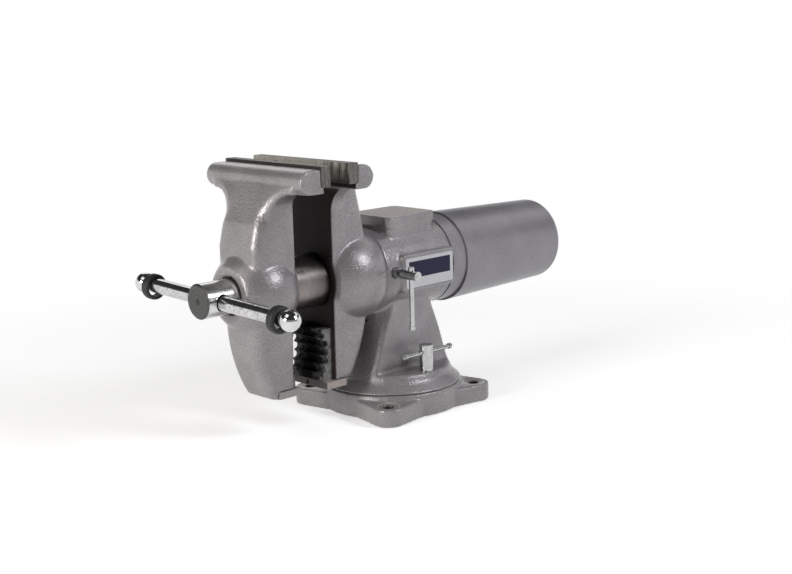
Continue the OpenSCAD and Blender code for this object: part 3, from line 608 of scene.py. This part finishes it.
# Floor and light
FLOOR_WHITE, FLOOR_BOUNCE = 0.82, 0.60
NEAR_LIFT, FAR_WHITE = 0.52, 1.0
WALL_GREY = 0.30
NEAR_R, FAR_R = 0.30, 0.95
STAGE_R, WALL_H, STAGE_SIDES = 14.0, 4.2, 48
FLOOR_DROP = 0.0005
GREY_WALL_TO = 125
ROOM_LIGHT = 0.04
AIM = (0.0, 0.0, 0.17)
WARM, PLAIN, COOL = (1.0, 0.97, 0.93), (1.0, 0.99, 0.98), (0.95, 0.95, 1.0)
# Name, azimuth and elevation in degrees, distance, size, power in watts, colour
LAMPS = [
    ("front_low", 0, 15, 2.0, 0.60, 21.0, WARM),
    ("front_high", 0, 50, 2.0, 1.0, 4.0, WARM),
    ("side_key", 112, 33, 2.0, 0.60, 18.0, COOL),
    ("back", 170, 45, 2.0, 1.0, 3.5, PLAIN),
    ("far_side", -115, 35, 2.0, 1.0, 4.0, PLAIN),
]


def seen_directly(tree):
    """One where a ray from the camera, a reflection or clear glass asks, otherwise zero."""
    path = tree.nodes.new("ShaderNodeLightPath")
    value = path.outputs["Is Camera Ray"]
    for name in ("Is Glossy Ray", "Is Transmission Ray"):
        either = tree.nodes.new("ShaderNodeMath")
        either.operation = "MAXIMUM"
        tree.links.new(value, either.inputs[0])
        tree.links.new(path.outputs[name], either.inputs[1])
        value = either.outputs[0]
    return value


def stage_material(name, lift, far_lift):
    """Matt stage that keeps its shadows near the vise and has one plain tone far off."""
    mat = bpy.data.materials.new(name)
    mat.use_nodes = True
    tree = mat.node_tree
    tree.nodes.clear()

    def made(kind, **values):
        node = tree.nodes.new(kind)
        for key, value in values.items():
            node.inputs[key.replace("_", " ")].default_value = value
        return node

    plain = made("ShaderNodeBsdfDiffuse", Color=(FLOOR_WHITE, FLOOR_WHITE, FLOOR_WHITE, 1))
    bounce = made("ShaderNodeBsdfDiffuse", Color=(FLOOR_BOUNCE, FLOOR_BOUNCE, FLOOR_BOUNCE, 1))
    raised = made("ShaderNodeEmission", Strength=lift)
    even = made("ShaderNodeEmission", Strength=far_lift)
    near = made("ShaderNodeAddShader")
    where = made("ShaderNodeTexCoord")
    radius = made("ShaderNodeVectorMath")
    radius.operation = "LENGTH"
    far = made("ShaderNodeMapRange", From_Min=NEAR_R, From_Max=FAR_R)
    far.interpolation_type = "SMOOTHSTEP"
    ground = made("ShaderNodeMixShader")
    shown = made("ShaderNodeMixShader")
    out = made("ShaderNodeOutputMaterial")
    tree.links.new(plain.outputs[0], near.inputs[0])
    tree.links.new(raised.outputs[0], near.inputs[1])
    tree.links.new(where.outputs["Object"], radius.inputs[0])
    tree.links.new(radius.outputs["Value"], far.inputs["Value"])
    tree.links.new(far.outputs[0], ground.inputs[0])
    tree.links.new(near.outputs[0], ground.inputs[1])
    tree.links.new(even.outputs[0], ground.inputs[2])
    tree.links.new(seen_directly(tree), shown.inputs[0])
    tree.links.new(bounce.outputs[0], shown.inputs[1])
    tree.links.new(ground.outputs[0], shown.inputs[2])
    tree.links.new(shown.outputs[0], out.inputs["Surface"])
    return mat


def stage_piece(name, points, faces, material):
    mesh = bpy.data.meshes.new(name)
    mesh.from_pydata(points, [], faces)
    mesh.materials.append(material)
    obj = bpy.data.objects.new(name, mesh)
    obj.location.z = -FLOOR_DROP
    scene.collection.objects.link(obj)


def plain_stage():
    """A round white floor with a low wall around it, which is grey behind the camera."""
    white = stage_material("stage_white", NEAR_LIFT, FAR_WHITE)
    grey = stage_material("stage_grey", WALL_GREY, WALL_GREY)
    step = 360 / STAGE_SIDES
    turns = [math.radians(step * i) for i in range(STAGE_SIDES)]
    ring = [(STAGE_R * math.sin(a), -STAGE_R * math.cos(a)) for a in turns]
    low = [(x, y, 0) for x, y in ring]
    high = [(x, y, WALL_H) for x, y in ring]
    after = [(i + 1) % STAGE_SIDES for i in range(STAGE_SIDES)]
    wall = [(i, j, STAGE_SIDES + j, STAGE_SIDES + i) for i, j in enumerate(after)]
    grey_count = sum(step * (i + 0.5) < GREY_WALL_TO for i in range(STAGE_SIDES))
    stage_piece("floor", low, [tuple(range(STAGE_SIDES))], white)
    stage_piece("wall_white", low + high, wall[grey_count:], white)
    stage_piece("wall_grey", low + high, wall[:grey_count], grey)


def world_light():
    """A low even light from all round."""
    world = bpy.data.worlds.new("studio")
    scene.world = world
    world.use_nodes = True
    room = world.node_tree.nodes["Background"]
    room.inputs["Color"].default_value = (0.95, 0.96, 1.0, 1)
    room.inputs["Strength"].default_value = ROOM_LIGHT


def direction(azimuth, elevation):
    """Unit vector at an azimuth from -Y towards +X and an elevation, in radians."""
    flat = math.cos(elevation)
    return Vector((math.sin(azimuth) * flat, -math.cos(azimuth) * flat, math.sin(elevation)))


def soft_box(name, azimuth, elevation, distance, size, power, colour):
    """A square soft lamp aimed at the vise."""
    data = bpy.data.lights.new(name, "AREA")
    data.size = size
    data.energy = power
    data.color = colour
    obj = bpy.data.objects.new(name, data)
    out = direction(math.radians(azimuth), math.radians(elevation))
    obj.location = Vector(AIM) + distance * out
    obj.rotation_euler = (-out).to_track_quat("-Z", "Y").to_euler()
    scene.collection.objects.link(obj)


plain_stage()
world_light()
for lamp in LAMPS:
    soft_box(*lamp)


# Camera fitted to the photograph
CAMERA_AZIMUTH, CAMERA_ELEVATION, CAMERA_ROLL = math.radians(46.40), math.radians(11.26), math.radians(-1.40)
CAMERA_AIM = (0.00522, 0.00557, 0.13983)
CAMERA_DISTANCE = 1.57883
FOCAL_PIXELS, PHOTO_PIXELS = 1317.46, 792
SENSOR_MM = 36.0
CLIP_START = 0.01


def photo_camera():
    """A camera that sees the vise as the photograph does."""
    back = direction(CAMERA_AZIMUTH, CAMERA_ELEVATION)
    level = Vector((math.cos(CAMERA_AZIMUTH), math.sin(CAMERA_AZIMUTH), 0))
    upright = back.cross(level)
    right = level * math.cos(CAMERA_ROLL) + upright * math.sin(CAMERA_ROLL)
    up = upright * math.cos(CAMERA_ROLL) - level * math.sin(CAMERA_ROLL)
    data = bpy.data.cameras.new("camera")
    data.sensor_fit = "HORIZONTAL"
    data.sensor_width = SENSOR_MM
    data.lens = SENSOR_MM * FOCAL_PIXELS / PHOTO_PIXELS
    data.clip_start = CLIP_START
    obj = bpy.data.objects.new("camera", data)
    turn = Matrix((right, up, back)).transposed().to_4x4()
    obj.matrix_world = Matrix.Translation(Vector(CAMERA_AIM) + back * CAMERA_DISTANCE) @ turn
    scene.collection.objects.link(obj)
    scene.camera = obj


photo_camera()
scene.view_settings.view_transform = "Standard"
